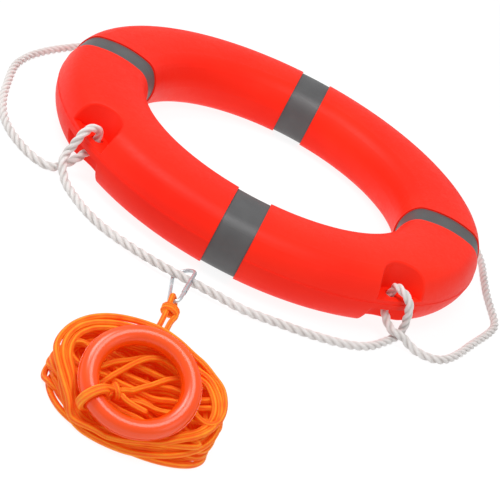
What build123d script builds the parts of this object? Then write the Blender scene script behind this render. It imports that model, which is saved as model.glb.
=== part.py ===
"""Ring lifebuoy lying on a floor, with its grab rope, a throw line clipped to that rope and the line's hand ring.

Frame: origin at the centre of the ring's underside, +Z up, millimetres. The throw line lies on the -Y side.
"""

from build123d import *
import os
from math import asin, cos, pi, radians, sin, tan

os.makedirs("parts", exist_ok=True)

# Ring body
outer_diameter = 720
inner_diameter = 440
section_height = 102
edge_radius = 34  # round between the top, the sides and the underside
crown = 4  # bulge of each side of the section
land_depth = 0.8  # flat land on the underside, cut this far into the crown
wall = 3.2
seam_height = 1.6  # raised weld seam round the outside, on each half
seam_proud = 0.6
fit_gap = 0.3

# Reflective bands, in shallow grooves
band_width = 52
groove_depth = 3.5
band_thickness = 1.0
band_azimuths = (0, 90, 180, 270)

# Rope pockets, two back to back at each of four places, with a web between them
pocket_centre_radius = 367
pocket_radius = 45
pocket_draft = 4  # growth of the radius from the web to the top
web_half = 5
rim_bar_half = 8
rim_bar_width = 11
rope_hole_axis_radius = 337
rope_hole_diameter = 18
pocket_rim_fillet = 3.5
rear_roof_z = 83  # the two rear pockets end under this roof, and open only outwards

# Foam filling plugs, on the underside
plug_azimuth = 22.5  # of the first, and the second is opposite
plug_diameter = 20
plug_flange_diameter = 26
plug_flange = 2

# Grab rope
rope_diameter = 13
sleeve_outer_diameter = 18
sleeve_length = 50

# Carabiner
wire_diameter = 5.5
carabiner_length = 100
hook_radius = 15.5  # of the wire's centreline, at the wide end
eye_radius = 8  # the same, at the narrow end
rope_seat = 20  # from the hook's top to the rope that it hangs on
carabiner_heading = 4  # turn away from -Y
carabiner_tilt = 38  # right leg above the rope, left leg under it
gate_diameter = 7.2
gate_pin_diameter = 2
nose_y = -16
pivot_y = -50

# Throw line
line_diameter = 7.5
hank_size = (226, 190)
hank_centre = (-15.5, -757)
hank_front_height = 8
hank_height = 93
hank_taper = 22
hank_slope = 30

# Hand ring
hand_ring_diameter = 143
hand_ring_tube = 24
hand_ring_wall = 2.2
hand_ring_centre = (-16.8, -787.3, 61.5)
hand_ring_tie_angle = 230
tie_width = 15.6

# Worked out
ring_radius = (outer_diameter + inner_diameter) / 4
section_width = (outer_diameter - inner_diameter) / 2
mid_z = section_height / 2 - land_depth
mid_plane = Plane.XY.offset(mid_z)
outer_radius = outer_diameter / 2
plug_top = wall - land_depth  # inner face of the wall at the land
on_base = (Align.CENTER, Align.CENTER, Align.MIN)


def save(piece, name):
    """Label a finished piece and write it."""
    piece.part.label = name
    export_step(piece.part, f"parts/{name}.step")


def ring_solid(grow):
    """The whole ring with its skin moved outwards by grow."""
    half_width = section_width / 2 - edge_radius - crown
    half_height = section_height / 2 - edge_radius - crown
    with BuildPart() as ring:
        with BuildSketch(Plane(origin=(ring_radius, 0, mid_z), z_dir=(0, -1, 0), x_dir=(1, 0, 0))):
            with BuildLine():
                for turn in (0, 180):
                    top = [(-half_width, half_height), (0, half_height + crown), (half_width, half_height)]
                    side = [(half_width, half_height), (half_width + crown, 0), (half_width, -half_height)]
                    sign = cos(radians(turn))
                    ThreePointArc(*[(sign * x, sign * y) for x, y in top])
                    ThreePointArc(*[(sign * x, sign * y) for x, y in side])
            make_face()
            offset(amount=edge_radius + grow)
        revolve(axis=Axis.Z)
    return ring.part


def band_wrap(inner, outer, width, azimuths):
    """The layer between two skins of the ring, in strips across it."""
    thick, thin = ring_solid(outer), ring_solid(inner)
    with BuildPart() as wrap:
        for azimuth in azimuths:
            with Locations(Location((0, 0, mid_z), (0, 0, azimuth))):
                with Locations((ring_radius, 0, 0)):
                    Box(section_width + 40, width, section_height + 40)
        add(thick, mode=Mode.INTERSECT)
        add(thin, mode=Mode.SUBTRACT)
    return wrap.part


def pocket_columns(extra):
    """The pockets of both halves as whole columns, with extra round their walls."""
    with BuildPart() as columns:
        with Locations(mid_plane), PolarLocations(pocket_centre_radius, 4, 45):
            Cone(pocket_radius + extra, pocket_radius + extra + pocket_draft, section_height / 2, align=on_base)
        mirror(about=mid_plane)
    return columns.part


def pocket_cutter():
    """What the pockets take out of the ring: the columns less the web and its rim bar."""
    columns = pocket_columns(0)
    with BuildPart() as cutter:
        add(columns)
        with Locations(mid_plane):
            Cylinder(outer_radius + 80, 2 * web_half, mode=Mode.SUBTRACT)
        with BuildSketch(mid_plane.offset(-rim_bar_half)):
            Circle(outer_radius + 80)
            Circle(outer_radius - rim_bar_width, mode=Mode.SUBTRACT)
        extrude(amount=2 * rim_bar_half, mode=Mode.SUBTRACT)
        with Locations((0, outer_radius, rear_roof_z)):
            Box(3 * outer_radius, 2 * outer_radius, section_height, align=on_base, mode=Mode.SUBTRACT)
    return cutter.part


def cavity(clearance):
    """The hollow of the ring: inside the wall, clear of the pockets and of the bands' grooves."""
    inside = ring_solid(-wall - clearance)
    columns = pocket_columns(wall + clearance)
    groove_walls = band_wrap(
        -wall - groove_depth - clearance, 1, band_width + 2 * (wall + clearance), band_azimuths
    )
    with BuildPart() as hollow:
        add(inside)
        add(columns, mode=Mode.SUBTRACT)
        add(groove_walls, mode=Mode.SUBTRACT)
    return hollow.part


# Ring body: the whole ring with its grooves and pockets, hollowed, then split at the weld seam
grooves = band_wrap(-groove_depth, seam_proud + 2, band_width, band_azimuths)
skin = ring_solid(0)
pockets = pocket_cutter()
hollow = cavity(0)
foam_body = cavity(fit_gap)

with BuildPart() as ring_body:
    with Locations(mid_plane):
        Cylinder(outer_radius + seam_proud, 2 * seam_height)
        Cylinder(outer_radius - wall / 2, 2 * seam_height, mode=Mode.SUBTRACT)
    add(skin)
    add(pockets, mode=Mode.SUBTRACT)
    open_walls = ring_body.faces().filter_by(GeomType.CONE).filter_by(
        lambda face: face.center().Y < 0 or face.center().Z < mid_z
    )
    fillet(
        open_walls.edges().filter_by(lambda edge: abs(edge.center().Z - mid_z) > rim_bar_half + 1),
        pocket_rim_fillet,
    )
    add(grooves, mode=Mode.SUBTRACT)
    add(hollow, mode=Mode.SUBTRACT)
    with Locations(mid_plane), PolarLocations(rope_hole_axis_radius, 4, 45):
        Cylinder(rope_hole_diameter / 2, 3 * web_half, mode=Mode.SUBTRACT)
    hole_edges = ring_body.edges().filter_by(GeomType.CIRCLE).filter_by(
        lambda edge: abs(edge.radius - rope_hole_diameter / 2) < 0.01
    )
    fillet(hole_edges, 1.5)

with BuildPart() as shell_upper:
    add(ring_body.part)
    split(bisect_by=mid_plane, keep=Keep.TOP)
save(shell_upper, "shell_upper")

with BuildPart() as shell_lower:
    add(ring_body.part)
    split(bisect_by=mid_plane, keep=Keep.BOTTOM)
    split(bisect_by=Plane.XY, keep=Keep.TOP)
    with PolarLocations(ring_radius, 2, plug_azimuth):
        Cylinder(plug_diameter / 2, 4 * wall, mode=Mode.SUBTRACT)
    with Locations(Plane.XY.offset(plug_top)), PolarLocations(ring_radius, 2, plug_azimuth):
        Cylinder(plug_flange_diameter / 2, 2 * wall, align=on_base, mode=Mode.SUBTRACT)
save(shell_lower, "shell_lower")

with BuildPart() as foam_core:
    add(foam_body)
    with Locations(Plane.XY.offset(plug_top)), PolarLocations(ring_radius, 2, plug_azimuth):
        Cylinder(plug_flange_diameter / 2 + fit_gap, 2 * (plug_flange + fit_gap), mode=Mode.SUBTRACT)
save(foam_core, "foam_core")

with BuildPart() as foam_plugs:
    with PolarLocations(ring_radius, 2, plug_azimuth):
        Cylinder(plug_diameter / 2, plug_top, align=on_base)
    with Locations(Plane.XY.offset(plug_top)), PolarLocations(ring_radius, 2, plug_azimuth):
        Cylinder(plug_flange_diameter / 2, plug_flange, align=on_base)
save(foam_plugs, "foam_plugs")

# Reflective bands, wrapped right round the section in their grooves
band_names = ("band_right", "band_rear", "band_left", "band_front")
for band_name, azimuth in zip(band_names, band_azimuths):
    strip = band_wrap(-groove_depth, -groove_depth + band_thickness, band_width - 2 * fit_gap, (azimuth,))
    with BuildPart() as band:
        add(strip)
    save(band, band_name)


def cord_tube(points, diameter, name):
    """A round cord along straight runs joined by tangent arcs, as large as the runs allow."""
    places = [Vector(*point) for point in points]
    radii = []
    for before, corner, after in zip(places, places[1:], places[2:]):
        shorter = min((corner - before).length, (after - corner).length)
        half_turn = radians((corner - before).get_angle(after - corner)) / 2
        radii.append(0.45 * shorter / tan(half_turn))
    with BuildPart() as tube:
        with BuildLine() as path:
            FilletPolyline(*places, radius=radii)
        with BuildSketch(Plane(origin=path.line @ 0, z_dir=path.line % 0)):
            Circle(diameter / 2)
        sweep()
    length = path.wire().length
    expected = length * pi * diameter**2 / 4
    print(name, "length", round(length), "volume ratio", round(tube.part.volume / expected, 4))
    print("  radii", [round(radius) for radius in radii])
    return tube


# Grab rope: one rope through the web of every pocket, over its rim bar, crossing itself outside it
def at_pocket(azimuth, side, places):
    """Points given as radius, distance along the rim and height, for the pocket at this azimuth."""
    turn = radians(azimuth)
    return [
        (r * cos(turn) - side * t * sin(turn), r * sin(turn) + side * t * cos(turn), z)
        for r, t, z in places
    ]


rope_z = rope_diameter / 2 + 0.2  # where the rope lies on the floor
up_through_web = [(373, -10, 23), (360, -10, 28), (347, -6, 33), (337, -1, 40), (337, 0, 66)]
over_bar_and_down = [(343, -3, 73), (356, -1, 73), (368, 6, 67), (372.5, 11, 54), (373, 16, 38), (374, 19, 23)]
onto_floor = [(375, 16, 10), (380, 2, rope_z), (388, -20, rope_z), (400, -58, rope_z)]
crossing_above = [(427, 55, rope_z), (414, 32, rope_z), (401, 19, 10), (389, 6, 19.5), (383, -9, 21.5)]
rear_loop = [(412, 62, rope_z)] + crossing_above[1:] + up_through_web + over_bar_and_down + onto_floor
right_loop = crossing_above + up_through_web + over_bar_and_down + onto_floor
left_loop = [
    (426, 36, rope_z),
    (419, 8, rope_z),
    (406, -10, rope_z),
    (391, -10, rope_z),
    (377, -6, 10.5),
    (364, -6, 20),
    (350, -4, 32),
    (337, 0, 40),
    (337, 1, 66),
    (346, -1, 73),
    (359, -3, 73.5),
    (371, -7, 66),
    (377, -9, 52),
    (380, -7, 38),
    (386, -9, 27),
    (392, -20, 19.5),
    (393, -34, 10.5),
    (395, -50, rope_z),
    (397, -70, rope_z),
]
sleeve_z = sleeve_outer_diameter / 2 + 0.2
rear_half = [
    (1, 375, sleeve_z),
    (34, 375, sleeve_z),
    (84, 378, rope_z + 0.3),
    (142, 374, rope_z),
    (200, 352, rope_z),
]
right_arc = [
    (368, 208, rope_z),
    (387, 155, rope_z),
    (394, 98, rope_z),
    (403, 41, rope_z),
    (415, -8, rope_z),
    (426, -54, rope_z),
    (414, -98, rope_z),
    (392, -154, rope_z),
    (373, -209, rope_z),
    (358, -242, rope_z),
]
front_arc = [
    (213, -351, rope_z),
    (160, -376, rope_z),
    (104, -393, rope_z),
    (58, -411, 9),
    (8, -414, 12.5),
    (-72, -414, 12.5),
    (-120, -400, 9),
    (-165, -383, rope_z),
    (-200, -361, rope_z),
]
left_arc = [
    (-360, -245, rope_z),
    (-386, -203, rope_z),
    (-404, -150, rope_z),
    (-417, -90, rope_z),
    (-429, -28, rope_z),
    (-425, 28, rope_z),
    (-413, 76, rope_z),
    (-396, 124, rope_z),
    (-376, 170, rope_z),
    (-352, 210, rope_z),
]
grab_rope_route = (
    rear_half
    + at_pocket(45, 1, rear_loop)
    + right_arc
    + at_pocket(-45, 1, right_loop)
    + front_arc
    + at_pocket(-135, -1, left_loop)[::-1]
    + left_arc
    + at_pocket(135, -1, rear_loop)[::-1]
    + [(-x, y, z) for x, y, z in rear_half[::-1]]
)
grab_rope = cord_tube(grab_rope_route, rope_diameter, "grab_rope")
save(grab_rope, "grab_rope")

with BuildPart() as rope_sleeve:
    with BuildSketch(Plane(origin=(-sleeve_length / 2, 375, sleeve_z), z_dir=(1, 0, 0))):
        Circle(sleeve_outer_diameter / 2)
        Circle(rope_diameter / 2, mode=Mode.SUBTRACT)
    extrude(amount=sleeve_length)
    outer_edges = rope_sleeve.edges().filter_by(GeomType.CIRCLE).sort_by(SortBy.RADIUS)[-2:]
    fillet(outer_edges, 1.2)
save(rope_sleeve, "rope_sleeve")

# Carabiner: x runs across it to the gate's side, y to the hook's top, with the rope through (0, 0)
heading, tilt = radians(carabiner_heading), radians(carabiner_tilt)
along = Vector(sin(heading), -cos(heading), 0)
across = Vector(cos(heading), sin(heading), 0)
carabiner_x = across * cos(tilt) + Vector(0, 0, sin(tilt))
carabiner_normal = carabiner_x.cross(along * -1)
clip_point = Vector(-35, -414, 12.5)
carabiner_plane = Plane(origin=clip_point, x_dir=carabiner_x, z_dir=carabiner_normal)

hook_y = rope_seat - hook_radius
eye_y = rope_seat - (carabiner_length - wire_diameter) + eye_radius
narrowing = asin((hook_radius - eye_radius) / (hook_y - eye_y))
tangent_x, tangent_y = cos(narrowing), -sin(narrowing)
hook_tangent = (hook_radius * tangent_x, hook_y + hook_radius * tangent_y)
eye_tangent = (eye_radius * tangent_x, eye_y + eye_radius * tangent_y)


def on_gate_leg(y):
    """The point of the gate's leg at this y."""
    return (hook_tangent[0] - (hook_tangent[1] - y) * tan(narrowing), y)


gate_x, gate_y = on_gate_leg(pivot_y)
gate_direction = Vector(sin(narrowing), cos(narrowing))
gate_plane = Plane(
    origin=carabiner_plane.from_local_coords((gate_x, gate_y, 0)),
    x_dir=carabiner_x * cos(narrowing) + along * sin(narrowing),
    z_dir=carabiner_normal,
)
nose_reach = (nose_y - pivot_y) / cos(narrowing)  # from the pivot to the end of the nose's wire
stub_reach = 3.8
gate_heel_radius = 3.4
neck_length, head_length = 3, 2
spring_bore_diameter = 3.4
spring_wire_diameter = 0.5

with BuildPart() as carabiner_body:
    with BuildLine(carabiner_plane) as wire:
        Line(on_gate_leg(nose_y), hook_tangent)
        ThreePointArc(hook_tangent, (0, rope_seat), (-hook_tangent[0], hook_tangent[1]))
        Line((-hook_tangent[0], hook_tangent[1]), (-eye_tangent[0], eye_tangent[1]))
        ThreePointArc((-eye_tangent[0], eye_tangent[1]), (0, eye_y - eye_radius), eye_tangent)
        Line(eye_tangent, on_gate_leg(pivot_y - stub_reach * cos(narrowing)))
    with BuildSketch(Plane(origin=wire.line @ 0, z_dir=wire.line % 0)):
        Circle(wire_diameter / 2)
    sweep()
    neck_plane = Plane(origin=gate_plane.from_local_coords((0, nose_reach, 0)), z_dir=gate_plane.y_dir * -1)
    with BuildSketch(neck_plane):
        Circle(1.2)
    extrude(amount=neck_length)
    with BuildSketch(neck_plane.offset(neck_length)):
        Circle(2.2)
    extrude(amount=head_length)
    with BuildSketch(gate_plane.offset(-1.2)):
        with Locations((0, -stub_reach / 2 - 0.5)):
            Rectangle(5, stub_reach + 1)
        Circle(2.5)
        Circle(gate_pin_diameter / 2, mode=Mode.SUBTRACT)
    extrude(amount=2.4)
save(carabiner_body, "carabiner_body")

gate_length = nose_reach - fit_gap
gate_section = Plane(origin=gate_plane.origin, x_dir=gate_plane.x_dir, z_dir=gate_plane.y_dir)
with BuildPart() as carabiner_gate:
    with BuildSketch(gate_section.offset(-gate_diameter / 2)):
        Circle(gate_diameter / 2)
    extrude(amount=gate_diameter / 2 + gate_length)
    with BuildSketch(gate_plane.offset(-gate_diameter)):
        with Locations((0, gate_length / 2)):
            Rectangle(gate_diameter + 1, gate_length)
        Circle(gate_heel_radius)
    extrude(amount=2 * gate_diameter, mode=Mode.INTERSECT)
    with Locations(gate_plane):
        with Locations((0, -0.5, 0)):  # fork over the stub
            Box(12, 7.4, 2.7, mode=Mode.SUBTRACT)
        with Locations((1.5, nose_reach - neck_length / 2, 0)):  # slot for the nose's neck
            Box(6, neck_length + 1.2, 3, mode=Mode.SUBTRACT)
        with Locations((1.2, nose_reach - neck_length - 1.55, 0)):  # and for its head
            Box(7.4, 3.9, 5, mode=Mode.SUBTRACT)
        Cylinder(gate_pin_diameter / 2 + 0.04, 20, mode=Mode.SUBTRACT)
    with BuildSketch(gate_section):
        Circle(spring_bore_diameter / 2)
    extrude(amount=12, mode=Mode.SUBTRACT)
save(carabiner_gate, "carabiner_gate")

with BuildPart() as gate_pin:
    with BuildSketch(gate_plane.offset(-gate_diameter / 2 + 0.1)):
        Circle(gate_pin_diameter / 2)
    extrude(amount=gate_diameter - 0.2)
save(gate_pin, "gate_pin")

with BuildPart() as upright_spring:
    with BuildLine() as coil:
        Helix(pitch=1.3, height=7.8, radius=1.2)
    with BuildSketch(Plane(origin=coil.line @ 0, z_dir=coil.line % 0)):
        Circle(spring_wire_diameter / 2)
    sweep(is_frenet=True)
with BuildPart() as gate_spring:
    add(gate_section.offset(stub_reach) * upright_spring.part)
save(gate_spring, "gate_spring")


# Throw line: its bight through the carabiner's eye, a wrapped knot, and the legs to the hank
def from_clip(distance, sideways, z):
    """A point given by its distance from the rope along the carabiner, sideways, and its height."""
    place = clip_point + along * distance + across * sideways
    return (place.X, place.Y, z)


lead_route = [
    from_clip(*place)
    for place in (
        (249, -14, 8),
        (207, -12, 4),
        (168, -9, 4),
        (136, -5.5, 4.4),
        (113, -4.6, 7.5),
        (95, -4.6, 13),
        (80, -4.9, 17.8),
        (65.4, -4.9, 17.8),
        (65.4, 3.5, 5.6),
        (80, 3.9, 5),
        (96, 4.2, 4.6),
        (114, 4.4, 4.4),
        (138, 5, 4.5),
        (170, 2, 4),
        (208, 1, 4),
        (249, 2, 8),
    )
]
throw_line_lead = cord_tube(lead_route, line_diameter, "throw_line_lead")
save(throw_line_lead, "throw_line_lead")

knot_plane = Plane(origin=from_clip(86, 0, 8.8), x_dir=across, z_dir=along)
with BuildPart() as throw_line_knot:
    with BuildSketch(knot_plane):
        SlotOverall(27, 17)
    extrude(amount=17)
    fillet(throw_line_knot.edges(), 5)
save(throw_line_knot, "throw_line_knot")

# Hand ring: two welded halves of a hollow torus, leaning on the hank
slope = radians(hank_slope)
hand_ring_plane = Plane(origin=hand_ring_centre, x_dir=(1, 0, 0), z_dir=(0, -sin(slope), cos(slope)))
tube_circle = (hand_ring_diameter - hand_ring_tube) / 2
tie_turn = radians(hand_ring_tie_angle)
tie_centre = (tube_circle * cos(tie_turn), tube_circle * sin(tie_turn), 0)
tie_plane = Plane(
    origin=hand_ring_plane.from_local_coords(tie_centre),
    x_dir=hand_ring_plane.z_dir,
    z_dir=hand_ring_plane.x_dir * -sin(tie_turn) + hand_ring_plane.y_dir * cos(tie_turn),
)
with BuildPart() as hand_ring_body:
    with Locations(hand_ring_plane):
        Torus(tube_circle, hand_ring_tube / 2)
        Torus(tube_circle, hand_ring_tube / 2 - hand_ring_wall, mode=Mode.SUBTRACT)
    with BuildSketch(hand_ring_plane.offset(-0.6)):
        Circle(hand_ring_diameter / 2 + 0.5)
        Circle(hand_ring_diameter / 2 - 1, mode=Mode.SUBTRACT)
    extrude(amount=1.2)
for half_name, side in (("hand_ring_upper", Keep.TOP), ("hand_ring_lower", Keep.BOTTOM)):
    with BuildPart() as hand_ring_half:
        add(hand_ring_body.part)
        split(bisect_by=hand_ring_plane, keep=side)
    save(hand_ring_half, half_name)

# Line tied round the hand ring: the two turns as one sleeve, and their knot inside the ring
tie_inner = hand_ring_tube / 2 + 0.9
tie_outer = tie_inner + line_diameter + 0.4
with BuildPart() as hand_ring_tie:
    with BuildSketch(tie_plane.offset(-tie_width / 2)):
        Circle(tie_outer)
        Circle(tie_inner, mode=Mode.SUBTRACT)
    extrude(amount=tie_width)
    fillet(hand_ring_tie.edges().filter_by(GeomType.CIRCLE).sort_by(SortBy.RADIUS)[-2:], 3)
save(hand_ring_tie, "hand_ring_tie")

knot_reach = tube_circle - tie_outer - 9.5
with BuildPart() as hand_ring_knot:
    with Locations(hand_ring_plane):
        with Locations(Location((0, 0, -7), (0, 0, hand_ring_tie_angle))):
            with Locations((knot_reach, 0, 0)):
                Box(18, 20, 12)
    fillet(hand_ring_knot.edges(), 4)
save(hand_ring_knot, "hand_ring_knot")

# Hank: the outer shape of the coiled line, a mound that slopes down away from the ring body
front_y = hank_centre[1] - hank_size[1] / 2
slope_plane = Plane(origin=(0, front_y, hank_front_height), x_dir=(1, 0, 0), z_dir=(0, -sin(slope), cos(slope)))
with BuildPart() as throw_line_hank:
    with BuildSketch():
        with Locations(hank_centre):
            Ellipse(hank_size[0] / 2, hank_size[1] / 2)
    extrude(amount=hank_height, taper=hank_taper)
    split(bisect_by=slope_plane, keep=Keep.BOTTOM)
    with Locations(tie_plane):
        Cylinder(tie_outer + fit_gap, tie_width + 2 * fit_gap, mode=Mode.SUBTRACT)
save(throw_line_hank, "throw_line_hank")

print("gate pivot", gate_plane.origin, "axis", carabiner_normal)
print("hand ring pivot", tie_plane.origin, "axis", tie_plane.z_dir)
print("hank volume", throw_line_hank.part.volume)
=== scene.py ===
"""Looks of the ring lifebuoy: rope, throw line, materials, light and camera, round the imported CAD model.

Everything is in metres, in the row frame: +Z up, origin at the centre of the ring's underside. The throw
line lies on the -Y side. The points of the grab rope repeat those of the CAD source, and those of the throw
line's ends follow them to about 3 millimetres. The points of the hank are given only here, because in CAD it
is one mound.
"""

import math

import bpy
import numpy as np
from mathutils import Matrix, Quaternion, Vector


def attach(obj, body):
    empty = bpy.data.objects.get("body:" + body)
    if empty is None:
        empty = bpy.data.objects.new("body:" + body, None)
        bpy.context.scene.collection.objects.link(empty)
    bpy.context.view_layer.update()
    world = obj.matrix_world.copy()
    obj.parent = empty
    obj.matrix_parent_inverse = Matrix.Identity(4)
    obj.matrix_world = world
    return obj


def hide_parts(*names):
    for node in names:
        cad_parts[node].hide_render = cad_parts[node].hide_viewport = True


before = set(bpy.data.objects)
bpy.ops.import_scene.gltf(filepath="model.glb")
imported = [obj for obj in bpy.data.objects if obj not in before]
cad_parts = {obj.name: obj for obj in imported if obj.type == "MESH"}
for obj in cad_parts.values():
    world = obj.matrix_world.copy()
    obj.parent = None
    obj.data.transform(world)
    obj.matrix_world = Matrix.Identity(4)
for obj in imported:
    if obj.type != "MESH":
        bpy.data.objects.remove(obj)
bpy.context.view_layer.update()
scene = bpy.context.scene

ROPE_DIAMETER = 0.013
ROPE_LAY = 0.046  # length of one full turn of the three strands
LINE_DIAMETER = 0.0075
LINE_RADIUS = LINE_DIAMETER / 2


# ---------------------------------------------------------------- camera, floor and light
def make_camera():
    camera = bpy.data.objects.new("camera", bpy.data.cameras.new("camera"))
    scene.collection.objects.link(camera)
    camera.data.lens = 117.04
    camera.data.sensor_width = 36
    camera.data.clip_end = 50
    place = Vector((0, -2.36902, 1.01680))
    target = Vector((0.03026, -0.20979, -0.00117))
    roll = Quaternion((0, 0, 1), math.radians(28.12))
    camera.location = place
    camera.rotation_mode = "QUATERNION"
    camera.rotation_quaternion = (target - place).to_track_quat("-Z", "Y") @ roll
    scene.camera = camera


def make_floor():
    reach = 30
    mesh = bpy.data.meshes.new("floor")
    corners = [(-reach, -reach, 0), (reach, -reach, 0), (reach, reach, 0), (-reach, reach, 0)]
    mesh.from_pydata(corners, [], [(0, 1, 2, 3)])
    floor = bpy.data.objects.new("floor", mesh)
    scene.collection.objects.link(floor)
    floor.data.materials.append(floor_material())


def area_light(name, place, target, size, power):
    lamp = bpy.data.objects.new(name, bpy.data.lights.new(name, "AREA"))
    scene.collection.objects.link(lamp)
    lamp.data.shape = "DISK"
    lamp.data.size = size
    lamp.data.energy = power
    lamp.location = place
    lamp.rotation_mode = "QUATERNION"
    lamp.rotation_quaternion = (Vector(target) - Vector(place)).to_track_quat("-Z", "Y")


def make_light():
    world = bpy.data.worlds.new("studio")
    scene.world = world
    world.use_nodes = True
    background = world.node_tree.nodes["Background"]
    background.inputs["Color"].default_value = (1, 1, 1, 1)
    background.inputs["Strength"].default_value = 0.5
    area_light("key", (-1.5, -0.3, 2.2), (0, -0.2, 0), 1.3, 34)
    area_light("top", (0.1, -0.9, 2.6), (0, -0.5, 0), 1.4, 26)
    area_light("fill", (1.8, -1.6, 1.4), (0, -0.2, 0), 1.4, 5)
    scene.view_settings.view_transform = "Standard"


# ---------------------------------------------------------------- material tools
class Nodes:
    """A short way to write a material's nodes: every call makes one node and gives its first output."""

    def __init__(self, name):
        self.material = bpy.data.materials.new(name)
        self.material.use_nodes = True
        self.tree = self.material.node_tree
        self.shader = self.tree.nodes["Principled BSDF"]

    def node(self, kind, settings=None, **inputs):
        made = self.tree.nodes.new(kind)
        for key, value in (settings or {}).items():
            setattr(made, key, value)
        for key, value in inputs.items():
            self.feed(made, int(key[1:]) if key[1:].isdigit() else key.replace("_", " "), value)
        return made

    def feed(self, node, socket, value):
        if isinstance(value, bpy.types.NodeSocket):
            self.tree.links.new(value, node.inputs[socket])
        else:
            node.inputs[socket].default_value = value

    def math(self, operation, a, b=0.0, c=0.0):
        return self.node("ShaderNodeMath", {"operation": operation}, _0=a, _1=b, _2=c).outputs[0]

    def place(self):
        return self.node("ShaderNodeTexCoord").outputs["Object"]

    def noise(self, scale, detail=3.0, roughness=0.5, vector=None, distortion=0.0):
        made = self.node(
            "ShaderNodeTexNoise",
            Scale=scale,
            Detail=detail,
            Roughness=roughness,
            Distortion=distortion,
            Vector=vector or self.place(),
        )
        return made.outputs["Fac"]

    def ramp(self, value, stops):
        """A colour or grey ramp; stops are (position, colour or grey)."""
        made = self.node("ShaderNodeValToRGB", Fac=value)
        ramp = made.color_ramp
        while len(ramp.elements) < len(stops):
            ramp.elements.new(0.5)
        for element, (position, colour) in zip(ramp.elements, stops):
            grey = isinstance(colour, (int, float))
            element.position = position
            element.color = (colour, colour, colour, 1) if grey else (*colour, 1)
        return made.outputs["Color"]

    def range(self, value, low, high, to_low, to_high):
        made = self.node("ShaderNodeMapRange", Value=value)
        for key, number in zip(("From Min", "From Max", "To Min", "To Max"), (low, high, to_low, to_high)):
            made.inputs[key].default_value = number
        return made.outputs["Result"]

    def bump(self, height, distance, strength=1.0, normal=None):
        made = self.node("ShaderNodeBump", Height=height, Distance=distance, Strength=strength)
        if normal is not None:
            self.tree.links.new(normal, made.inputs["Normal"])
        return made.outputs["Normal"]

    def finish(self, **inputs):
        for key, value in inputs.items():
            self.feed(self.shader, key.replace("_", " "), value)
        return self.material


# ---------------------------------------------------------------- cord tools
def spline_line(points, steps):
    """The smooth line of a cord: a NURBS spline with these control points, read as points."""
    curve = bpy.data.curves.new("route", "CURVE")
    curve.dimensions = "3D"
    curve.resolution_u = steps
    spline = curve.splines.new("NURBS")
    spline.points.add(len(points) - 1)
    for knot, place in zip(spline.points, points):
        knot.co = (*place, 1)
    spline.order_u = 3
    spline.use_endpoint_u = True
    bare = bpy.data.objects.new("route", curve)
    mesh = bpy.data.meshes.new_from_object(bare)
    line = np.array([vertex.co for vertex in mesh.vertices], float)
    bpy.data.meshes.remove(mesh)
    bpy.data.curves.remove(curve)
    return line


def lengths_along(line):
    return np.concatenate([[0], np.cumsum(np.linalg.norm(np.diff(line, axis=0), axis=1))])


def frames_along(line):
    """Normal and binormal at each point of a line, with no twist of their own."""
    tangents = np.gradient(line, axis=0)
    tangents /= np.linalg.norm(tangents, axis=1)[:, None]
    normal = np.cross(tangents[0], (0.3, 0.5, 0.8))
    normals = []
    for tangent in tangents:
        normal = normal - tangent * (normal @ tangent)
        normal = normal / np.linalg.norm(normal)
        normals.append(normal)
    normals = np.array(normals)
    return normals, np.cross(tangents, normals)


def tube_mesh(name, line, profile, lay=None, taper=0.0):
    """A tube along a line, with one radius of the profile for each of its sides.

    lay is the length of one turn of its twist, and taper rounds off both ends over that length. The UV map
    holds turns around (u) and metres along (v).
    """
    sides = len(profile)
    along = lengths_along(line)
    normals, binormals = frames_along(line)
    twist = along / lay * 2 * math.pi if lay else along * 0
    angles = np.linspace(0, 2 * math.pi, sides, endpoint=False)[None, :] + twist[:, None]
    scale = np.ones(len(line))
    if taper:
        near_end = np.clip(np.minimum(along, along[-1] - along) / taper, 0.02, 1)
        scale = np.sqrt(1 - (1 - near_end) ** 2)
    radius = profile[None, :] * scale[:, None]
    rings = (
        line[:, None, :]
        + (radius * np.cos(angles))[..., None] * normals[:, None, :]
        + (radius * np.sin(angles))[..., None] * binormals[:, None, :]
    )
    count = len(line)
    first = (np.arange(count - 1)[:, None] * sides + np.arange(sides)[None, :]).ravel()
    side = np.tile(np.arange(sides), count - 1)
    beside = first - side + (side + 1) % sides
    quads = np.stack([first, beside, beside + sides, first + sides], axis=1)
    caps = [tuple(range(sides))[::-1], tuple(range((count - 1) * sides, count * sides))]
    mesh = bpy.data.meshes.new(name)
    mesh.from_pydata(rings.reshape(-1, 3).tolist(), [], quads.tolist() + caps)
    u = np.stack([side, side + 1, side + 1, side], axis=1) / sides
    row = first // sides
    v = np.stack([along[row], along[row], along[row + 1], along[row + 1]], axis=1)
    uv = np.concatenate([np.stack([u, v], axis=-1).reshape(-1, 2), np.zeros((2 * sides, 2))])
    mesh.uv_layers.new(name="cord").data.foreach_set("uv", uv.astype(np.float32).ravel())
    mesh.shade_smooth()
    piece = bpy.data.objects.new(name, mesh)
    scene.collection.objects.link(piece)
    return piece


# ---------------------------------------------------------------- grab rope
def strand_profile(sides):
    """Radius round a rope of three strands, with the strands pressed together at the grooves."""
    radius = ROPE_DIAMETER / 2
    strand = 0.56 * radius
    offset = radius - strand
    reach = []
    for index in range(sides):
        turn = (index / sides * 360) % 120 - 60
        side = offset * math.sin(math.radians(turn))
        reach.append(offset * math.cos(math.radians(turn)) + math.sqrt(max(strand**2 - side**2, 0)))
    return np.array(reach)


def at_pocket(azimuth, side, places):
    """Points given as radius, distance along the rim and height, for the pocket at this azimuth."""
    turn = math.radians(azimuth)
    return [
        (
            r * math.cos(turn) - side * t * math.sin(turn),
            r * math.sin(turn) + side * t * math.cos(turn),
            z,
        )
        for r, t, z in places
    ]


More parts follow.
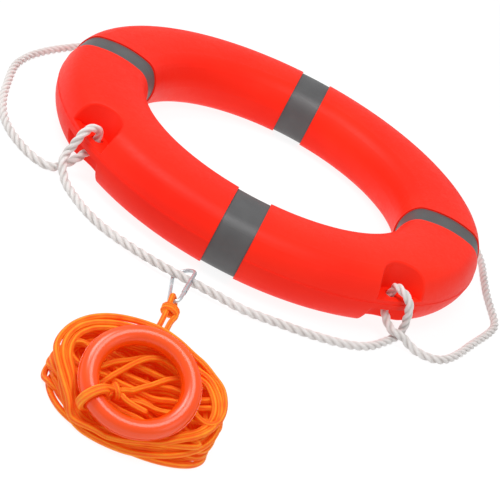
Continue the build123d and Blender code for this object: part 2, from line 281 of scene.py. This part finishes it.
ROPE_Z = ROPE_DIAMETER / 2 + 0.0002  # where the rope lies on the floor
up_through_web = [
    (0.373, -0.01, 0.023),
    (0.36, -0.01, 0.028),
    (0.347, -0.006, 0.033),
    (0.337, -0.001, 0.04),
    (0.337, 0, 0.066),
]
over_bar_and_down = [
    (0.343, -0.003, 0.073),
    (0.356, -0.001, 0.073),
    (0.368, 0.006, 0.067),
    (0.3725, 0.011, 0.054),
    (0.373, 0.016, 0.038),
    (0.374, 0.019, 0.023),
]
onto_floor = [(0.375, 0.016, 0.01), (0.38, 0.002, ROPE_Z), (0.388, -0.02, ROPE_Z), (0.4, -0.058, ROPE_Z)]
crossing_above = [
    (0.427, 0.055, ROPE_Z),
    (0.414, 0.032, ROPE_Z),
    (0.401, 0.019, 0.01),
    (0.389, 0.006, 0.0195),
    (0.383, -0.009, 0.0215),
]
rear_loop = [(0.412, 0.062, ROPE_Z)] + crossing_above[1:] + up_through_web + over_bar_and_down + onto_floor
right_loop = crossing_above + up_through_web + over_bar_and_down + onto_floor
left_loop = [
    (0.426, 0.036, ROPE_Z),
    (0.419, 0.008, ROPE_Z),
    (0.406, -0.01, ROPE_Z),
    (0.391, -0.01, ROPE_Z),
    (0.377, -0.006, 0.0105),
    (0.364, -0.006, 0.02),
    (0.35, -0.004, 0.032),
    (0.337, 0, 0.04),
    (0.337, 0.001, 0.066),
    (0.346, -0.001, 0.073),
    (0.359, -0.003, 0.0735),
    (0.371, -0.007, 0.066),
    (0.377, -0.009, 0.052),
    (0.38, -0.007, 0.038),
    (0.386, -0.009, 0.027),
    (0.392, -0.02, 0.0195),
    (0.393, -0.034, 0.0105),
    (0.395, -0.05, ROPE_Z),
    (0.397, -0.07, ROPE_Z),
]
SLEEVE_Z = 0.0092
rear_half = [
    (0.001, 0.375, SLEEVE_Z),
    (0.034, 0.375, SLEEVE_Z),
    (0.084, 0.378, ROPE_Z + 0.0003),
    (0.142, 0.374, ROPE_Z),
    (0.2, 0.352, ROPE_Z),
]
right_arc = [
    (0.368, 0.208, ROPE_Z),
    (0.387, 0.155, ROPE_Z),
    (0.394, 0.098, ROPE_Z),
    (0.403, 0.041, ROPE_Z),
    (0.415, -0.008, ROPE_Z),
    (0.426, -0.054, ROPE_Z),
    (0.414, -0.098, ROPE_Z),
    (0.392, -0.154, ROPE_Z),
    (0.373, -0.209, ROPE_Z),
    (0.358, -0.242, ROPE_Z),
]
front_arc = [
    (0.213, -0.351, ROPE_Z),
    (0.16, -0.376, ROPE_Z),
    (0.104, -0.393, ROPE_Z),
    (0.058, -0.411, 0.009),
    (0.008, -0.414, 0.0125),
    (-0.072, -0.414, 0.0125),
    (-0.12, -0.4, 0.009),
    (-0.165, -0.383, ROPE_Z),
    (-0.2, -0.361, ROPE_Z),
]
left_arc = [
    (-0.36, -0.245, ROPE_Z),
    (-0.386, -0.203, ROPE_Z),
    (-0.404, -0.15, ROPE_Z),
    (-0.417, -0.09, ROPE_Z),
    (-0.429, -0.028, ROPE_Z),
    (-0.425, 0.028, ROPE_Z),
    (-0.413, 0.076, ROPE_Z),
    (-0.396, 0.124, ROPE_Z),
    (-0.376, 0.17, ROPE_Z),
    (-0.352, 0.21, ROPE_Z),
]
grab_rope_route = (
    rear_half
    + at_pocket(45, 1, rear_loop)
    + right_arc
    + at_pocket(-45, 1, right_loop)
    + front_arc
    + at_pocket(-135, -1, left_loop)[::-1]
    + left_arc
    + at_pocket(135, -1, rear_loop)[::-1]
    + [(-x, y, z) for x, y, z in rear_half[::-1]]
)


def make_grab_rope():
    line = spline_line(grab_rope_route, 14)
    along = lengths_along(line)
    step = 0.0016  # close enough to show the strands' twist
    at = np.linspace(0, along[-1], int(along[-1] / step))
    line = np.stack([np.interp(at, along, line[:, axis]) for axis in range(3)], axis=1)
    rope = tube_mesh("grab_rope_strands", line, strand_profile(30), lay=ROPE_LAY)
    rope.data.materials.append(rope_material())
    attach(rope, "root")
    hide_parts("grab_rope")


# ---------------------------------------------------------------- throw line: its hank
SLOPE = math.radians(30)
RING_CENTRE = np.array((-0.0168, -0.7873, 0.0615))
RING_CIRCLE = 0.0595  # radius of the hand ring's tube circle
RING_TUBE_RADIUS = 0.012
RING_ABOVE_SLOPE = 0.014
TIE_ANGLE = math.radians(230)
# Outline of the hank on the slope, from the hand ring's centre: across, and up the slope. An outline was
# marked by eye and a separate program projected it at two heights. Nearly all of these places lie between
# the two answers, so this list is in effect the projection's numbers too.
RIM = [
    (0.110, 0.016),
    (0.104, 0.032),
    (0.085, 0.053),
    (0.056, 0.068),
    (0.038, 0.077),
    (0.019, 0.084),
    (-0.007, 0.088),
    (-0.029, 0.084),
    (-0.054, 0.077),
    (-0.076, 0.067),
    (-0.095, 0.050),
    (-0.105, 0.034),
    (-0.110, 0.014),
    (-0.108, -0.006),
    (-0.101, -0.018),
    (-0.091, -0.028),
    (-0.079, -0.042),
    (-0.067, -0.056),
    (-0.053, -0.069),
    (-0.034, -0.078),
    (-0.016, -0.080),
    (0.004, -0.078),
    (0.020, -0.074),
    (0.036, -0.068),
    (0.054, -0.060),
    (0.072, -0.050),
    (0.085, -0.040),
    (0.097, -0.029),
    (0.108, -0.012),
    (0.113, 0.004),
]
FOOT_Y = RING_CENTRE[1] + RING_ABOVE_SLOPE * math.sin(SLOPE)  # the slope under the ring, seen from above
RIM_CENTRE = np.array((-0.015, -0.780))
BACK_TAPER = 0.4  # how far the hank's back leans out, per metre of height
SAMPLE = 0.003  # spacing of the points that the hank is laid in
CONTROL_EVERY = 4  # samples from one control point of the hank to the next
SETTLE = 9  # the newest samples, which the line doesn't rest on yet
STEEPEST = 0.5  # how much the line rises or falls along itself
CHANGE_OVER = 36  # samples over which one turn goes over into the next
MOST_TURNS = 90
FILL_INSETS = (0.005, 0.013, 0.021, 0.029, 0.038, 0.048, 0.060)
BED_INSETS = (0.020, 0.012, 0.004)
RIM_INSETS = (0.0185, 0.0105, 0.0025)  # of the turns round the top, each outside the last
FILL_DEPTH = 0.0105  # of the filling's highest strands under the slope
BED_DEPTH = 0.0165  # of the bed's lowest strands under the slope
KNOT_PLACE = (-0.0188, -0.0224)  # of the hand ring's knot on the slope
LEG_END = np.array((-0.045, -0.70))  # where the first turn starts, by the end of a leg


def on_slope(u, v):
    """The place on the floor under a point of the slope."""
    return (RING_CENTRE[0] + u, FOOT_Y + v * math.cos(SLOPE))


def slope_height(y):
    return 0.008 + (y + 0.852) * math.tan(SLOPE)


def resampled(points, step):
    along = lengths_along(points)
    at = np.linspace(0, along[-1], max(2, round(along[-1] / step) + 1))
    return np.stack([np.interp(at, along, points[:, axis]) for axis in range(points.shape[1])], axis=1)


def smoothed(values, width, closed):
    """Gaussian smoothing along a line; width is in samples."""
    reach = int(3 * width)
    kernel = np.exp(-0.5 * (np.arange(-reach, reach + 1) / width) ** 2)
    kernel /= kernel.sum()
    pad_width = [(reach, reach)] + [(0, 0)] * (values.ndim - 1)
    padded = np.pad(values, pad_width, mode="wrap" if closed else "edge")
    return sum(weight * padded[i : i + len(values)] for i, weight in enumerate(kernel))


class Pile:
    """Line laid on a floor, stretch on stretch: each sample of a new stretch rests on what is below it."""

    CELL = 0.0015  # the pile's top is a height for each square of this size
    CORNER = np.array((-0.21, -0.93))
    SHAPE = (260, 230)

    def __init__(self):
        self.top = np.zeros(self.SHAPE)
        reach = int(LINE_RADIUS / self.CELL) + 1
        span = np.arange(-reach, reach + 1)
        self.around = np.stack(np.meshgrid(span, span, indexing="ij"), axis=-1).reshape(-1, 2)
        self.laid = np.zeros((0, 3))
        self.pending = np.zeros((0, 3))

    def cells(self, plan):
        middle = np.round((plan - self.CORNER) / self.CELL).astype(int)
        cells = middle[:, None, :] + self.around[None, :, :]
        away = cells * self.CELL + self.CORNER - plan[:, None, :]
        drop = LINE_RADIUS**2 - (away**2).sum(axis=2)
        return cells[..., 0], cells[..., 1], np.sqrt(np.maximum(drop, 0)), drop > 0

    def rest(self, plan):
        """Height of the line's middle where it would rest at each place."""
        i, j, cap, inside = self.cells(plan)
        height = np.where(inside, self.top[i, j] + cap, 0)
        return np.maximum(height.max(axis=1), LINE_RADIUS)

    def stamp(self, points):
        i, j, cap, inside = self.cells(points[:, :2])
        height = np.where(inside, points[:, 2:3] + cap, 0)
        np.maximum.at(self.top, (i.ravel(), j.ravel()), height.ravel())

    def lay(self, plan, ceiling, floor=None):
        """Lay a stretch, in parts short enough that it also rests on its own start.

        ceiling and floor are the highest and lowest that the line's middle may be.
        """
        part = 40
        for start in range(0, len(plan), part):
            piece = plan[start : start + part]
            height = self.rest(piece)
            if floor is not None:
                height = np.maximum(height, floor[start : start + part])
            if len(self.laid):
                from_last = self.laid[-1, 2] - STEEPEST * SAMPLE * np.arange(1, len(piece) + 1)
                height = np.maximum(height, from_last)
            for i in range(len(height) - 2, -1, -1):
                height[i] = max(height[i], height[i + 1] - STEEPEST * SAMPLE)
            height = np.minimum(height, np.maximum(ceiling(piece), LINE_RADIUS))
            points = np.column_stack([piece, height])
            self.laid = np.concatenate([self.laid, points])
            self.pending = np.concatenate([self.pending, points])
            self.stamp(self.pending[:-SETTLE])
            self.pending = self.pending[-SETTLE:]


def fill_ceiling(plan):
    """Highest middle of the line while the hank is filled, one line below the strands that show."""
    return slope_height(plan[:, 1]) - FILL_DEPTH / math.cos(SLOPE)


def top_ceiling(plan):
    """Highest middle of the line at the top, clear of the hand ring, its tie and its knot."""
    u = plan[:, 0] - RING_CENTRE[0]
    v = (plan[:, 1] - FOOT_Y) / math.cos(SLOPE)
    from_circle = np.abs(np.hypot(u, v) - RING_CIRCLE)
    tie = np.hypot(u - RING_CIRCLE * math.cos(TIE_ANGLE), v - RING_CIRCLE * math.sin(TIE_ANGLE))
    knot = np.hypot(u - KNOT_PLACE[0], v - KNOT_PLACE[1])
    in_open, under_ring, under_knot, under_tie = 0.004, -0.0022, -0.0045, -0.0102  # above the slope
    above = np.full(len(plan), in_open)
    above = np.where(from_circle < RING_TUBE_RADIUS + 0.003, under_ring, above)
    above = np.where(knot < 0.016, under_knot, above)
    above = np.where(tie < 0.024, under_tie, above)
    return slope_height(plan[:, 1]) + above / math.cos(SLOPE)


def rim_curve():
    corners = np.array([on_slope(u, v) for u, v in RIM + RIM[:1]])
    curve = resampled(corners, SAMPLE)[:-1]
    return smoothed(curve, 4, closed=True)


def turn_plan(rim, inset, front, height):
    """One turn of the hank seen from above: the rim moved in by inset, cut straight across at front."""
    arm = rim - RIM_CENTRE
    reach = np.linalg.norm(arm, axis=1)
    at_back = np.clip((rim[:, 1] - RIM_CENTRE[1] - 0.02) / 0.04, 0, 1)
    lean = BACK_TAPER * at_back * np.clip(slope_height(rim[:, 1]) - height, 0, None)
    plan = RIM_CENTRE + arm * (1 - inset / reach)[:, None]
    plan[:, 1] += lean
    edge = 0.006
    plan[:, 1] = front + edge * np.logaddexp(0, (plan[:, 1] - front) / edge)
    return smoothed(plan, 4, closed=True)


def fill_hank(pile, random):
    """Lay turns, always the lowest that has room under the slope, until there is room for none."""
    rim = rim_curve()
    count = len(rim)
    start = int(np.argmin(np.hypot(*(rim - LEG_END).T)))
    last = None
    for _ in range(MOST_TURNS):
        wander = smoothed(random.normal(0, 1, (count, 2)), 12, closed=True) * 0.009
        best = None
        for inset in FILL_INSETS:
            for front in np.arange(-0.842, -0.718, 0.006):
                level = pile.top[pile.top > 0].mean() if pile.top.any() else 0
                plan = turn_plan(rim, inset + random.uniform(-0.002, 0.002), front, level) + wander
                if np.ptp(plan[:, 1]) < 0.024:
                    continue
                height = pile.rest(plan[::2])
                room = fill_ceiling(plan[::2]) - height
                if np.percentile(room, 10) < -0.001:
                    continue
                score = height.mean() + 0.5 * height.std()
                if best is None or score < best[0]:
                    best = (score, plan)
        if best is None:
            break
        plan = np.roll(best[1], -start, axis=0)
        past_start = int(random.integers(0, 16))
        laid = np.concatenate([plan, plan[:past_start]])
        if last is not None:
            turn = smooth_step(np.arange(len(laid)) / CHANGE_OVER)[:, None]
            laid = np.concatenate([last, last[:past_start]]) * (1 - turn) + laid * turn
        pile.lay(laid, fill_ceiling)
        start += past_start
        last = np.roll(best[1], -start, axis=0)
    whole_rim = -1  # a front that cuts nothing off
    above_slope = 0.1
    for inset in BED_INSETS:  # a bed for the turns that show
        plan = np.roll(turn_plan(rim, inset, whole_rim, above_slope), -start, axis=0)
        turn = smooth_step(np.arange(count) / CHANGE_OVER)[:, None]
        lowest = slope_height(plan[:, 1]) - BED_DEPTH / math.cos(SLOPE)
        pile.lay(last * (1 - turn) + plan * turn, fill_ceiling, lowest)
        last = plan


def smooth_step(t):
    t = np.clip(t, 0, 1)
    return t * t * (3 - 2 * t)


# ---------------------------------------------------------------- throw line: what shows, and its ends
def from_clip(distance, sideways, z):
    """A point given by its distance from the grab rope along the snap hook, sideways, and its height."""
    heading = math.radians(4)
    along = Vector((math.sin(heading), -math.cos(heading), 0))
    across = Vector((math.cos(heading), math.sin(heading), 0))
    place = Vector((-0.035, -0.414, 0)) + along * distance + across * sideways
    return (place.x, place.y, z)


leg_to_hank = [
    (0.249, -0.014, 0.008),
    (0.207, -0.012, 0.004),
    (0.168, -0.009, 0.004),
    (0.136, -0.0055, 0.0062),
    (0.113, -0.0046, 0.0098),
    (0.095, -0.0044, 0.0112),
    (0.08, -0.0049, 0.0178),
    (0.0654, -0.0049, 0.0178),
]
eye_to_knot = [
    (0.0654, 0.0035, 0.0056),
    (0.077, 0.0039, 0.005),
]
leg_from_knot = [
    (0.116, 0.006, 0.0065),
    (0.138, 0.005, 0.0045),
    (0.17, 0.002, 0.004),
    (0.208, 0.001, 0.004),
    (0.249, 0.002, 0.008),
]
WRAP = 1 / 0.927  # a spline with control points every 45 degrees runs inside them by this much


def knot_wraps(turns, first, last, middle_z, half_width, half_height):
    """Turns of the line round both legs, from one distance along the hook to another."""
    count = round(turns * 8)
    places = []
    for step in range(count + 1):
        turn = step * math.radians(45)
        distance = first + (last - first) * step / count
        sideways = half_width * WRAP * math.cos(turn)
        places.append((distance, sideways, middle_z + half_height * WRAP * math.sin(turn)))
    return places


def ring_point(across, up, out):
    """A point given in the hand ring's own plane: across it, up the slope and out of the plane."""
    s, c = math.sin(SLOPE), math.cos(SLOPE)
    return tuple(RING_CENTRE + np.array((across, up * c - out * s, up * s + out * c)))


def round_tube(turn, along):
    """A point of the line's turns round the hand ring's tube, at this angle and place along the tube."""
    reach = (RING_TUBE_RADIUS + 0.0009 + LINE_RADIUS) * WRAP
    radial = RING_CIRCLE + reach * math.cos(math.radians(turn))
    c, s = math.cos(TIE_ANGLE), math.sin(TIE_ANGLE)
    return ring_point(radial * c - along * s, radial * s + along * c, reach * math.sin(math.radians(turn)))


def near_knot(inward, along, out):
    """A point by the hand ring's knot: inward from the tube circle, along the tube, out of the plane."""
    radial = RING_CIRCLE - inward
    c, s = math.cos(TIE_ANGLE), math.sin(TIE_ANGLE)
    return ring_point(radial * c - along * s, radial * s + along * c, out)


def tie_route():
    """From the main line inside the hand ring: knot, two turns round the tube, knot, and the tail."""
    into_knot = [(0.040, 0.002, -0.005), (0.031, 0.001, -0.003), (0.024, -0.002, 0.003)]
    route = [near_knot(*place) for place in into_knot]
    turns = range(135, -511, -45)
    spread = 0.0078 / (len(turns) - 1)
    route += [round_tube(turn, -0.0039 + spread * index) for index, turn in enumerate(turns)]
    wrap_reach = 0.0068 * WRAP
    steps = 10
    for step in range(steps + 1):
        turn = math.radians(-90 + 45 * step)
        place = 0.026 + 0.0075 * step / steps
        route.append(near_knot(place, wrap_reach * math.cos(turn), -0.003 + wrap_reach * math.sin(turn)))
    tail = [(-0.008, -0.027, -0.004), (0.006, -0.028, -0.0065), (0.024, -0.027, -0.0075)]
    return route + [ring_point(*place) for place in tail]


# The strands on top, as places on the slope from the hand ring's centre: across, and up the slope.
# The strands were marked. A separate projection program then worked out all the places in folds and
# most of those in crossings, so these two lists are its numbers and weren't chosen in metres.
folds = [
    (0.026, 0.076),
    (-0.013, 0.058),
    (-0.054, 0.052),
    (-0.071, 0.053),
    (-0.085, 0.043),
    (-0.093, 0.025),
    (-0.092, 0.014),
    (-0.083, 0.016),
    (-0.076, 0.028),
    (-0.059, 0.035),
    (-0.019, 0.035),
    (0.022, 0.036),
    (0.054, 0.040),
    (0.073, 0.044),
    (0.085, 0.042),
    (0.088, 0.032),
    (0.073, 0.027),
    (0.044, 0.025),
    (0.006, 0.019),
    (-0.035, 0.016),
    (-0.073, 0.019),
    (-0.088, 0.015),
    (-0.092, 0.004),
    (-0.086, -0.006),
    (-0.073, -0.007),
    (-0.050, -0.003),
    (-0.010, -0.000),
    (0.028, 0.006),
    (0.066, 0.015),
    (0.087, 0.022),
    (0.103, 0.022),
    (0.103, 0.012),
    (0.087, 0.005),
    (0.057, -0.003),
    (0.019, -0.011),
    (-0.021, -0.014),
    (-0.054, -0.013),
    (-0.072, -0.013),
    (-0.081, -0.022),
    (-0.078, -0.034),
    (-0.069, -0.040),
    (-0.056, -0.039),
    (-0.025, -0.039),
    (0.015, -0.037),
    (0.054, -0.033),
    (0.080, -0.025),
    (0.094, -0.019),
    (0.096, -0.027),
    (0.080, -0.035),
    (0.053, -0.047),
    (0.018, -0.057),
    (-0.020, -0.060),
    (-0.047, -0.054),
]
crossings = [
    (0.102, 0.010),
    (0.100, -0.003),
    (0.089, -0.008),
    (0.074, 0.002),
    (0.060, 0.020),
    (0.046, 0.038),
    (0.027, 0.050),
    (0.002, 0.049),
    (-0.022, 0.029),
    (-0.045, 0.006),
    (-0.061, -0.008),
    (-0.070, -0.021),
    (-0.068, -0.031),
    (-0.057, -0.033),
    (-0.045, -0.025),
    (-0.036, -0.013),
    (-0.028, 0.002),
    (-0.015, 0.026),
    (0.004, 0.044),
    (0.021, 0.054),
    (0.037, 0.057),
    (0.048, 0.050),
    (0.045, 0.040),
    (0.031, 0.034),
    (0.021, 0.022),
    (0.005, 0.001),
    (-0.009, -0.013),
]
def hand_laid(places):
    plan = np.array([(*on_slope(u, v), 0) for u, v in places])
    return resampled(spline_line(plan, 12)[:, :2], SAMPLE)


def rim_turns(random):
    """The turns that go right round the hank on top of it, clockwise, each outside the last."""
    first_place, leave_place = on_slope(-0.075, -0.063), on_slope(0.104, 0.020)
    rim = rim_curve()[::-1]
    start = int(np.argmin(np.linalg.norm(rim - first_place, axis=1)))
    rim = np.roll(rim, -start, axis=0)
    arm = rim - RIM_CENTRE
    arm /= np.linalg.norm(arm, axis=1)[:, None]
    count = len(rim)
    move_out = smooth_step((np.arange(count) / count - 0.75) * 4)
    plan = []
    for inset, following in zip(RIM_INSETS, RIM_INSETS[1:] + RIM_INSETS[-1:]):
        plan.append(rim - arm * (inset + (following - inset) * move_out)[:, None])
    plan = np.concatenate(plan)
    wander = smoothed(random.normal(0, 1, len(plan)), 16, closed=False) * 0.0035
    plan += np.tile(arm, (len(RIM_INSETS), 1)) * wander[:, None]
    last_turn = plan[-count:]
    leave = int(np.argmin(np.linalg.norm(last_turn - leave_place, axis=1)))
    return plan[: len(plan) - count + leave]


def joined(first, second, gap):
    """Two stretches of line seen from above, with a smooth piece between their ends."""
    a, b = first[-gap], second[gap]
    ahead = first[-gap] - first[-gap - 3]
    behind = second[gap + 3] - second[gap]
    span = np.linalg.norm(b - a)
    ahead = ahead / np.linalg.norm(ahead) * span
    behind = behind / np.linalg.norm(behind) * span
    t = np.linspace(0, 1, max(3, round(span / SAMPLE)))[1:-1, None]
    bridge = (
        (2 * t**3 - 3 * t**2 + 1) * a
        + (t**3 - 2 * t**2 + t) * ahead
        + (3 * t**2 - 2 * t**3) * b
        + (t**3 - t**2) * behind
    )
    return np.concatenate([first[:-gap], bridge, second[gap:]])


def throw_line_route():
    """Control points from the tail at the hand ring to the end inside the hank."""
    random = np.random.default_rng(7)
    pile = Pile()
    inner_end = [
        (0.01, -0.745, 0.004),
        (0.004, -0.718, 0.004),
        (-0.006, -0.693, 0.004),
        (-0.013, -0.673, 0.006),
    ]
    into_hank = [(-0.038, -0.68, 0.008), (-0.052, -0.696, 0.005)]
    leg_b = inner_end + [from_clip(*place) for place in leg_from_knot[::-1]]
    wraps = knot_wraps(2, 0.104, 0.088, 0.0102, 0.0095, 0.0063)
    leg_b += [from_clip(*place) for place in wraps + eye_to_knot[::-1]]
    leg_a = [from_clip(*place) for place in leg_to_hank[::-1]] + into_hank
    for stretch in (leg_b[:6], leg_a[-3:]):
        pile.stamp(resampled(spline_line(stretch, 12), SAMPLE))
    fill_hank(pile, random)
    folded = hand_laid(folds)
    top = joined(folded, rim_turns(random), 4)
    top = joined(top, hand_laid(crossings), 6)
    across_back = (pile.laid[:, 0] > 0.045) & (pile.laid[:, 1] > -0.75)
    keep = np.flatnonzero(across_back)[-1] + 1  # the last turn stops where it starts across the back
    relaid = 20  # samples of that turn that are laid again, with the top
    top = joined(pile.laid[keep - relaid : keep, :2], top, 4)
    pile.laid = pile.laid[: keep - relaid]
    past_folds = smooth_step((np.arange(len(top)) - len(folded)) / 30)
    depth = 0.0095 - 0.008 * past_folds  # the line spans the gaps under it
    pile.lay(top, top_ceiling, slope_height(top[:, 1]) - depth / math.cos(SLOPE))
    laid = pile.laid.copy()
    laid[:, 2] = np.maximum(smoothed(laid[:, 2], 1.6, closed=False), LINE_RADIUS)
    hank = laid[::CONTROL_EVERY]
    route = leg_b + leg_a + [tuple(place) for place in hank] + tie_route()
    return route[::-1]


def make_throw_line():
    line = resampled(spline_line(throw_line_route(), 6), 0.0032)
    piece = tube_mesh("throw_line_braid", line, np.full(12, LINE_RADIUS), taper=LINE_RADIUS)
    piece.data.materials.append(line_material())
    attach(piece, "throw_line")
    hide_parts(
        "throw_line_lead", "throw_line_knot", "throw_line_hank", "hand_ring_tie", "hand_ring_knot"
    )


# ---------------------------------------------------------------- materials
def floor_material():
    """White paper lit from within, so that it comes out white whatever the lamps give it."""
    return Nodes("floor_white").finish(
        Base_Color=(0.12, 0.12, 0.12, 1),
        Roughness=0.9,
        Emission_Color=(1, 1, 1, 1),
        Emission_Strength=0.9,
    )


def rope_material():
    made = Nodes("white_twisted_rope")
    uv = made.node("ShaderNodeUVMap", {"uv_map": "cord"}).outputs["UV"]
    parts = made.node("ShaderNodeSeparateXYZ", _0=uv)
    around, along = parts.outputs[0], parts.outputs[1]
    straight = made.math("MULTIPLY_ADD", along, 1 / ROPE_LAY * 1.35, around)
    yarns = made.math("SINE", made.math("MULTIPLY", straight, 2 * math.pi * 27))
    # The grooves between the strands are painted darker and the strands' crowns lighter: painted shade and
    # painted light, on top of the random soiling.
    groove = made.math("COSINE", made.math("MULTIPLY", around, 2 * math.pi * 3))
    fibre = made.noise(900, 3, 0.6)
    soil = made.noise(18, 4, 0.55)
    tone = made.math("MULTIPLY_ADD", groove, -0.16, made.math("MULTIPLY_ADD", soil, 0.5, 0.30))
    tone = made.math("MULTIPLY_ADD", yarns, 0.06, tone)
    # The darkest stop stands for soiling and for painted shade in the grooves, the lightest for clean rope
    # and for painted light on the crowns.
    soiled_and_shaded, worn, clean_and_lit = (0.52, 0.46, 0.43), (0.80, 0.755, 0.73), (0.90, 0.87, 0.855)
    colour = made.ramp(tone, [(0.2, soiled_and_shaded), (0.5, worn), (0.8, clean_and_lit)])
    height = made.math("MULTIPLY_ADD", fibre, 0.5, made.math("MULTIPLY", yarns, 0.5))
    normal = made.bump(height, 0.0005, 0.9)
    return made.finish(
        Base_Color=colour,
        Roughness=0.62,
        Normal=normal,
        Sheen_Weight=0.25,
        Sheen_Roughness=0.4,
    )


def line_material():
    made = Nodes("orange_braided_line")
    uv = made.node("ShaderNodeUVMap", {"uv_map": "cord"}).outputs["UV"]
    parts = made.node("ShaderNodeSeparateXYZ", _0=uv)
    around, along = parts.outputs[0], parts.outputs[1]
    strands = 8
    pitch = 1 / 0.020
    right = made.math("MULTIPLY", made.math("MULTIPLY_ADD", along, pitch, around), strands)
    left = made.math("MULTIPLY", made.math("MULTIPLY_ADD", along, -pitch, around), strands)
    over = made.math("SINE", made.math("MULTIPLY", right, 2 * math.pi))
    under = made.math("SINE", made.math("MULTIPLY", left, 2 * math.pi))
    weave = made.math("MAXIMUM", over, under)
    fibre = made.noise(1500, 2, 0.6)
    mottle = made.noise(60, 3, 0.5)
    ribs = made.math("SINE", made.math("MULTIPLY", around, 2 * math.pi * 5))
    # The weave makes the gaps between the braid's strands darker, towards the deep stop: painted shade.
    tone = made.math("MULTIPLY_ADD", weave, 0.14, made.math("MULTIPLY_ADD", mottle, 0.5, 0.22))
    tone = made.math("MULTIPLY_ADD", ribs, 0.16, tone)
    deep, orange, bright = (0.95, 0.08, 0.001), (1.0, 0.20, 0.004), (1.0, 0.38, 0.02)
    colour = made.ramp(tone, [(0.25, deep), (0.5, orange), (0.75, bright)])
    height = made.math("MULTIPLY_ADD", fibre, 0.3, made.math("MULTIPLY_ADD", ribs, 0.8, weave))
    normal = made.bump(height, 0.00035, 0.9)
    return made.finish(
        Base_Color=colour,
        Roughness=0.5,
        Normal=normal,
        Specular_IOR_Level=0.3,
        Emission_Color=(1.0, 0.035, 0.0, 1),  # a little red glow, painted light that lifts the shaded gaps between the strands
        Emission_Strength=0.12,
    )


def shell_material():
    made = Nodes("moulded_red_shell")
    mottle = made.noise(5, 4, 0.55)
    grain = made.noise(700, 2, 0.5)
    waves = made.noise(14, 2, 0.5)
    scuffs = made.noise(90, 5, 0.7, distortion=1.5)
    deep, red, bright = (0.93, 0.014, 0.003), (0.97, 0.020, 0.005), (1.0, 0.026, 0.007)
    colour = made.ramp(mottle, [(0.3, deep), (0.55, red), (0.75, bright)])
    roughness = made.range(scuffs, 0.35, 0.75, 0.42, 0.58)
    normal = made.bump(grain, 0.0002, 0.35)
    normal = made.bump(waves, 0.004, 0.25, normal)
    return made.finish(Base_Color=colour, Roughness=roughness, Normal=normal, Specular_IOR_Level=0.16)


def band_material():
    made = Nodes("grey_reflective_band")
    place = made.place()
    cells = made.node(
        "ShaderNodeTexVoronoi", {"feature": "DISTANCE_TO_EDGE"}, Scale=520.0, Randomness=0.25, Vector=place
    ).outputs["Distance"]
    mottle = made.noise(25, 3, 0.5)
    colour = made.ramp(mottle, [(0.3, (0.086, 0.086, 0.088)), (0.7, (0.110, 0.110, 0.112))])
    height = made.math("MINIMUM", made.math("MULTIPLY", cells, 4.0), 0.6)
    normal = made.bump(height, 0.0002, 0.5)
    return made.finish(Base_Color=colour, Roughness=0.45, Normal=normal, Metallic=0.2)


def hand_ring_material():
    made = Nodes("glossy_orange_ring")
    mottle = made.noise(9, 3, 0.5)
    grain = made.noise(350, 2, 0.5)
    colour = made.ramp(mottle, [(0.3, (0.93, 0.066, 0.001)), (0.7, (0.98, 0.088, 0.002))])
    normal = made.bump(grain, 0.0001, 0.3)
    return made.finish(
        Base_Color=colour,
        Roughness=0.27,
        Normal=normal,
        Specular_IOR_Level=0.5,
        Coat_Weight=0.12,
        Coat_Roughness=0.2,
    )


def steel_material():
    made = Nodes("bright_steel")
    place = made.place()
    stretch = made.node("ShaderNodeMapping", Vector=place, Scale=(60, 900, 900)).outputs[0]
    scratches = made.noise(1, 4, 0.6, vector=stretch)
    dull = made.noise(80, 3, 0.5)
    colour = made.ramp(dull, [(0.3, (0.50, 0.54, 0.57)), (0.7, (0.68, 0.72, 0.75))])
    roughness = made.range(scratches, 0.3, 0.7, 0.16, 0.34)
    normal = made.bump(scratches, 0.00005, 0.4)
    return made.finish(Base_Color=colour, Roughness=roughness, Normal=normal, Metallic=0.5)


def sleeve_material():
    made = Nodes("clear_white_sleeve")
    ribs = made.noise(300, 3, 0.5)
    colour = made.ramp(ribs, [(0.3, (0.62, 0.60, 0.58)), (0.7, (0.78, 0.76, 0.74))])
    normal = made.bump(ribs, 0.0003, 0.4)
    return made.finish(Base_Color=colour, Roughness=0.35, Normal=normal)


def foam_material():
    made = Nodes("rigid_foam")
    cells = made.node("ShaderNodeTexVoronoi", Scale=600.0, Vector=made.place()).outputs["Distance"]
    colour = made.ramp(cells, [(0.0, (0.62, 0.55, 0.38)), (0.7, (0.88, 0.82, 0.66))])
    normal = made.bump(cells, 0.0006, 0.6)
    return made.finish(Base_Color=colour, Roughness=0.95, Normal=normal)


def plug_material():
    made = Nodes("red_plug")
    grain = made.noise(500, 3, 0.5)
    colour = made.ramp(grain, [(0.3, (0.70, 0.02, 0.012)), (0.7, (0.82, 0.03, 0.018))])
    return made.finish(Base_Color=colour, Roughness=0.5, Normal=made.bump(grain, 0.0002, 0.4))


def dress_cad_nodes():
    dress = {
        shell_material(): ("shell_upper", "shell_lower"),
        band_material(): ("band_front", "band_right", "band_rear", "band_left"),
        foam_material(): ("foam_core",),
        plug_material(): ("foam_plugs",),
        sleeve_material(): ("rope_sleeve",),
        steel_material(): ("carabiner_body", "carabiner_gate", "gate_pin", "gate_spring"),
        hand_ring_material(): ("hand_ring_upper", "hand_ring_lower"),
    }
    for material, names in dress.items():
        for name in names:
            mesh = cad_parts[name].data
            mesh.materials.clear()
            mesh.materials.append(material)


# ---------------------------------------------------------------- the scene
make_camera()
make_floor()
make_light()
dress_cad_nodes()
make_grab_rope()
make_throw_line()
